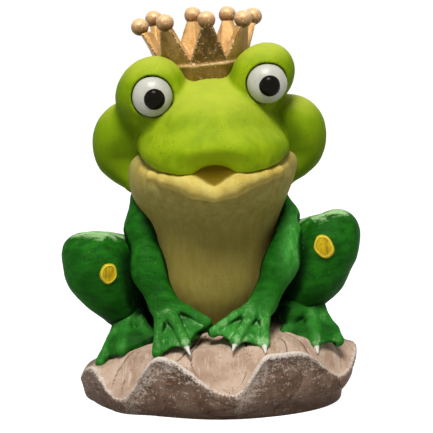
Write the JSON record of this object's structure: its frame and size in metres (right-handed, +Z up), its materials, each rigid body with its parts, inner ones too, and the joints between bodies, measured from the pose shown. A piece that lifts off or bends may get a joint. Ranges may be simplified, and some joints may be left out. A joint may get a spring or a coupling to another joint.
{
  "type": "aquarium frog ornament",
  "caption": "Free-standing painted ornament: a squatting frog with bulging eyes and an open pointed crown, on a ruffled leaf with a flat underside.",
  "frame": {"origin": "on the leaf's flat standing face, under the middle of the frog", "axes": "+Z up along the figure's height, -Y the way the frog looks, +X towards the frog's left side"},
  "size_m": [0.1154, 0.0928, 0.15],
  "materials": {
    "leaf_stone": "matt brown paint on cast resin, pale dry-brushed rim",
    "lime_paint": "satin lime paint on cast resin",
    "green_paint": "satin green paint on cast resin, lighter brush strokes",
    "cream_paint": "satin olive-cream paint on cast resin",
    "gold_paint": "satin copper-gold paint on cast resin",
    "eye_white": "gloss white enamel",
    "pupil_black": "gloss black enamel",
    "spot_yellow": "thick satin yellow paint",
    "dowel_steel": "drawn rod, cut to length"
  },
  "bodies": {
    "root": {"leaf_base": "leaf_stone", "belly_front": "cream_paint", "torso_back": "green_paint", "head": "lime_paint", "left_eye_white": "eye_white", "right_eye_white": "eye_white", "left_pupil": "pupil_black", "right_pupil": "pupil_black", "left_foreleg": "green_paint", "right_foreleg": "green_paint", "left_hind_foot": "green_paint", "right_hind_foot": "green_paint", "left_hind_leg": "green_paint", "right_hind_leg": "green_paint", "left_thigh_spot": "spot_yellow", "right_thigh_spot": "spot_yellow", "crown": "gold_paint", "crown_ball_1": "gold_paint", "crown_ball_2": "gold_paint", "crown_ball_3": "gold_paint", "crown_ball_4": "gold_paint", "crown_ball_5": "gold_paint", "crown_ball_6": "gold_paint", "crown_ball_7": "gold_paint", "crown_ball_8": "gold_paint", "neck_dowel": "dowel_steel", "crown_dowel": "dowel_steel", "belly_dowel_upper": "dowel_steel", "belly_dowel_lower": "dowel_steel", "base_dowel_left": "dowel_steel", "base_dowel_right": "dowel_steel", "hip_dowel_left": "dowel_steel", "hip_dowel_right": "dowel_steel"}
  },
  "joints": []
}
